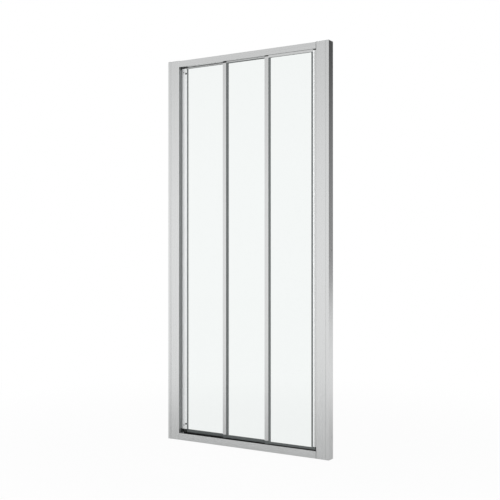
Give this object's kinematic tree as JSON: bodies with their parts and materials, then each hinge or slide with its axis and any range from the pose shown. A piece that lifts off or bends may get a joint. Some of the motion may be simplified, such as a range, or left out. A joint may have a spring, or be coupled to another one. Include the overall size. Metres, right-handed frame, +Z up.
{
  "type": "sliding shower door",
  "caption": "Framed telescopic shower door for a recess: one fixed glass panel and two glass panels on rollers that slide behind it, in an aluminium frame.",
  "frame": {"origin": "on the floor under the middle of the door: the bottom centre of its box", "axes": "+Z up, +X along the doorway towards the fixed panel's jamb, +Y into the shower; the outside faces -Y"},
  "size_m": [0.9, 0.045, 1.9],
  "materials": {
    "anodised_aluminium": "satin anodised",
    "clear_glass": "clear toughened glass",
    "grey_gasket": "matte",
    "black_rubber": "matte",
    "magnet_strip": "satin",
    "black_nylon": "matte",
    "steel": "zinc plated",
    "white_nylon": "satin",
    "dark_plastic": "satin",
    "black_plastic": "matte",
    "cover_plastic": "matte",
    "grey_plastic": "satin moulded"
  },
  "bodies": {
    "frame": {"left_wall_profile": "anodised_aluminium", "right_wall_profile": "anodised_aluminium", "wall_profile_caps": "grey_plastic", "left_jamb": "anodised_aluminium", "right_jamb": "anodised_aluminium", "jamb_caps": "grey_plastic", "jamb_covers": "cover_plastic", "header_track": "anodised_aluminium", "header_cover": "anodised_aluminium", "sill_track": "anodised_aluminium", "header_running_strips": "black_nylon", "sill_running_strips": "black_nylon", "sill_rear_seal": "black_rubber", "jamb_magnet_strip": "magnet_strip", "corner_screws": "steel", "jamb_fixing_screws": "steel", "fixed_bottom_seal": "black_rubber", "fixed_glass": "clear_glass", "fixed_glass_gasket": "grey_gasket", "fixed_stile": "anodised_aluminium", "fixed_edge_profile": "anodised_aluminium", "fixed_top_rail": "anodised_aluminium", "fixed_bottom_rail": "dark_plastic", "fixed_stile_caps": "dark_plastic", "fixed_supports": "black_plastic", "fixed_support_screws": "steel"},
    "middle_panel": {"middle_glass": "clear_glass", "middle_glass_gasket": "grey_gasket", "middle_left_stile": "anodised_aluminium", "middle_right_stile": "anodised_aluminium", "middle_top_rail": "anodised_aluminium", "middle_bottom_rail": "dark_plastic", "middle_stile_caps": "dark_plastic", "middle_overlap_seal": "black_rubber", "middle_top_carriages": "black_plastic", "middle_bottom_carriages": "black_plastic", "middle_carriage_screws": "steel", "middle_roller_axles": "steel"},
    "closing_panel": {"closing_glass": "clear_glass", "closing_glass_gasket": "grey_gasket", "handle_stile": "anodised_aluminium", "handle_blocks": "grey_plastic", "closing_right_stile": "anodised_aluminium", "closing_top_rail": "anodised_aluminium", "closing_bottom_rail": "dark_plastic", "closing_stile_caps": "dark_plastic", "closing_overlap_seal": "black_rubber", "closing_magnet_strip": "magnet_strip", "closing_top_carriages": "black_plastic", "closing_bottom_carriages": "black_plastic", "closing_carriage_screws": "steel", "closing_roller_axles": "steel"},
    "middle_roller_top_left_wheel": {"middle_roller_top_left": "white_nylon"},
    "middle_roller_top_right_wheel": {"middle_roller_top_right": "white_nylon"},
    "middle_roller_bottom_left_wheel": {"middle_roller_bottom_left": "white_nylon"},
    "middle_roller_bottom_right_wheel": {"middle_roller_bottom_right": "white_nylon"},
    "closing_roller_top_left_wheel": {"closing_roller_top_left": "white_nylon"},
    "closing_roller_top_right_wheel": {"closing_roller_top_right": "white_nylon"},
    "closing_roller_bottom_left_wheel": {"closing_roller_bottom_left": "white_nylon"},
    "closing_roller_bottom_right_wheel": {"closing_roller_bottom_right": "white_nylon"}
  },
  "joints": [
    {"name": "middle_slide", "type": "slide", "parent": "frame", "child": "middle_panel", "axis": [1, 0, 0], "range_m": [0, 0.2225]},
    {"name": "closing_slide", "type": "slide", "parent": "middle_panel", "child": "closing_panel", "axis": [1, 0, 0], "range_m": [0, 0.2225]},
    {"name": "middle_roller_top_left_spin", "type": "hinge", "parent": "middle_panel", "child": "middle_roller_top_left_wheel", "pos_m": [-0.12595, 0, 1.87845], "axis": [0, 1, 0], "continuous": true},
    {"name": "middle_roller_top_right_spin", "type": "hinge", "parent": "middle_panel", "child": "middle_roller_top_right_wheel", "pos_m": [0.12595, 0, 1.87845], "axis": [0, 1, 0], "continuous": true},
    {"name": "middle_roller_bottom_left_spin", "type": "hinge", "parent": "middle_panel", "child": "middle_roller_bottom_left_wheel", "pos_m": [-0.12595, 0, 0.011], "axis": [0, 1, 0], "continuous": true},
    {"name": "middle_roller_bottom_right_spin", "type": "hinge", "parent": "middle_panel", "child": "middle_roller_bottom_right_wheel", "pos_m": [0.12595, 0, 0.011], "axis": [0, 1, 0], "continuous": true},
    {"name": "closing_roller_top_left_spin", "type": "hinge", "parent": "closing_panel", "child": "closing_roller_top_left_wheel", "pos_m": [-0.37345, 0.013, 1.87845], "axis": [0, 1, 0], "continuous": true},
    {"name": "closing_roller_top_right_spin", "type": "hinge", "parent": "closing_panel", "child": "closing_roller_top_right_wheel", "pos_m": [-0.11805, 0.013, 1.87845], "axis": [0, 1, 0], "continuous": true},
    {"name": "closing_roller_bottom_left_spin", "type": "hinge", "parent": "closing_panel", "child": "closing_roller_bottom_left_wheel", "pos_m": [-0.37345, 0.013, 0.011], "axis": [0, 1, 0], "continuous": true},
    {"name": "closing_roller_bottom_right_spin", "type": "hinge", "parent": "closing_panel", "child": "closing_roller_bottom_right_wheel", "pos_m": [-0.11805, 0.013, 0.011], "axis": [0, 1, 0], "continuous": true}
  ],
  "couplings": [
    {"joint": "middle_roller_top_left_spin", "follows": "middle_slide", "rad_per_m": 125},
    {"joint": "middle_roller_top_right_spin", "follows": "middle_slide", "rad_per_m": 125},
    {"joint": "middle_roller_bottom_left_spin", "follows": "middle_slide", "rad_per_m": -125},
    {"joint": "middle_roller_bottom_right_spin", "follows": "middle_slide", "rad_per_m": -125},
    {"joint": "closing_roller_top_left_spin", "follows": "closing_slide", "rad_per_m": 125},
    {"joint": "closing_roller_top_right_spin", "follows": "closing_slide", "rad_per_m": 125},
    {"joint": "closing_roller_bottom_left_spin", "follows": "closing_slide", "rad_per_m": -125},
    {"joint": "closing_roller_bottom_right_spin", "follows": "closing_slide", "rad_per_m": -125}
  ]
}
